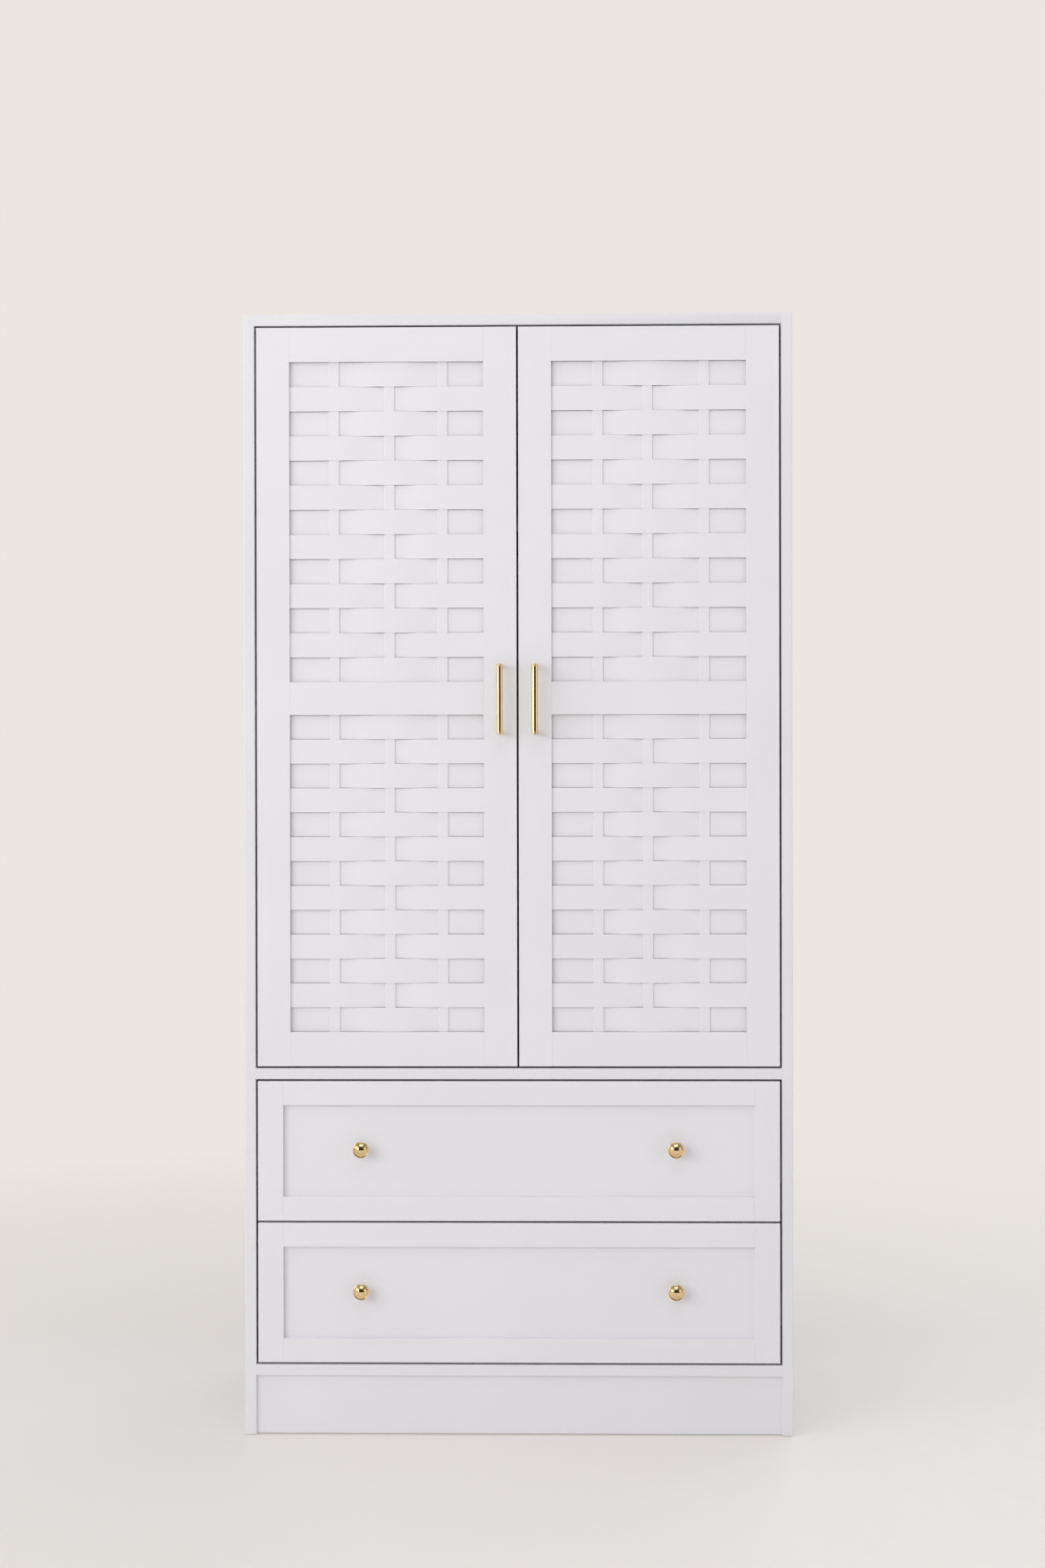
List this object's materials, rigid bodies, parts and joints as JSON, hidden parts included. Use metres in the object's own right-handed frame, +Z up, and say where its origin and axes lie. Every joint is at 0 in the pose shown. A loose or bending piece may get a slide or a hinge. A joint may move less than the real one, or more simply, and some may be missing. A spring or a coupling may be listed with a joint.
{
  "type": "wardrobe with doors",
  "caption": "Free-standing white wardrobe with inset doors of woven slats in frames, inset framed drawers under them, brass bar handles, round knobs and a plinth.",
  "frame": {"origin": "on the floor, at the centre of the outline in X and Y with the door handles included", "axes": "+Z up, -Y out of the front (doors and drawers), +X to the right seen from the front"},
  "size_m": [0.8, 0.53, 1.637],
  "materials": {
    "painted_board": "satin white paint on board",
    "painted_front": "satin white paint on MDF frames",
    "painted_weave": "satin white paint on thin woven slats",
    "hardboard": "white-faced hardboard",
    "drawer_board": "matt white foil on particle board",
    "beech": "plain turned beech",
    "polished_brass": "polished, gold coloured",
    "zinc_steel": "bright zinc plate",
    "chromed_tube": "polished chrome plate",
    "white_plastic": "matt",
    "black_plastic": "matt"
  },
  "bodies": {
    "carcass": {"left_side_panel": "painted_board", "right_side_panel": "painted_board", "top_panel": "painted_board", "middle_shelf": "painted_board", "bottom_panel": "painted_board", "plinth_board": "painted_board", "plinth_rear_rail": "painted_board", "back_panel_left": "hardboard", "back_panel_right": "hardboard", "back_joining_strip": "white_plastic", "hat_shelf": "painted_board", "shelf_pins": "zinc_steel", "hanging_rail": "chromed_tube", "rail_sockets": "zinc_steel", "cam_locks": "zinc_steel", "cam_bolts": "zinc_steel", "carcass_dowels": "beech", "floor_glides": "black_plastic", "wall_brackets": "zinc_steel", "hinge_arms": "zinc_steel", "hinge_plates": "zinc_steel", "mounting_screws": "zinc_steel", "door_stops": "black_plastic", "outer_runners": "zinc_steel"},
    "left_door": {"left_door_stiles": "painted_front", "left_door_rails": "painted_front", "left_door_backing": "hardboard", "left_door_slats": "painted_weave", "left_door_stakes": "painted_weave", "left_door_hinge_cups": "zinc_steel", "left_door_handle": "polished_brass", "left_door_handle_screws": "zinc_steel"},
    "right_door": {"right_door_stiles": "painted_front", "right_door_rails": "painted_front", "right_door_backing": "hardboard", "right_door_slats": "painted_weave", "right_door_stakes": "painted_weave", "right_door_hinge_cups": "zinc_steel", "right_door_handle": "polished_brass", "right_door_handle_screws": "zinc_steel"},
    "upper_drawer": {"upper_drawer_stiles": "painted_front", "upper_drawer_rails": "painted_front", "upper_drawer_panel": "painted_front", "upper_drawer_sides": "drawer_board", "upper_drawer_back": "drawer_board", "upper_drawer_bottom": "hardboard", "upper_drawer_knobs": "polished_brass", "upper_drawer_inner_runners": "zinc_steel"},
    "upper_drawer_slides": {"upper_drawer_middle_runners": "zinc_steel"},
    "lower_drawer": {"lower_drawer_stiles": "painted_front", "lower_drawer_rails": "painted_front", "lower_drawer_panel": "painted_front", "lower_drawer_sides": "drawer_board", "lower_drawer_back": "drawer_board", "lower_drawer_bottom": "hardboard", "lower_drawer_knobs": "polished_brass", "lower_drawer_inner_runners": "zinc_steel"},
    "lower_drawer_slides": {"lower_drawer_middle_runners": "zinc_steel"}
  },
  "joints": [
    {"name": "left_door_hinge", "type": "hinge", "parent": "carcass", "child": "left_door", "pos_m": [-0.3825, -0.235, 1.075], "axis": [0, 0, -1], "range_deg": [0, 100]},
    {"name": "right_door_hinge", "type": "hinge", "parent": "carcass", "child": "right_door", "pos_m": [0.3825, -0.235, 1.075], "axis": [0, 0, 1], "range_deg": [0, 100]},
    {"name": "upper_drawer_slide", "type": "slide", "parent": "carcass", "child": "upper_drawer", "axis": [0, -1, 0], "range_m": [0, 0.38]},
    {"name": "upper_drawer_slides_slide", "type": "slide", "parent": "carcass", "child": "upper_drawer_slides", "axis": [0, -1, 0], "range_m": [0, 0.19]},
    {"name": "lower_drawer_slide", "type": "slide", "parent": "carcass", "child": "lower_drawer", "axis": [0, -1, 0], "range_m": [0, 0.38]},
    {"name": "lower_drawer_slides_slide", "type": "slide", "parent": "carcass", "child": "lower_drawer_slides", "axis": [0, -1, 0], "range_m": [0, 0.19]}
  ],
  "couplings": [
    {"joint": "upper_drawer_slides_slide", "follows": "upper_drawer_slide", "ratio": 0.5},
    {"joint": "lower_drawer_slides_slide", "follows": "lower_drawer_slide", "ratio": 0.5}
  ]
}
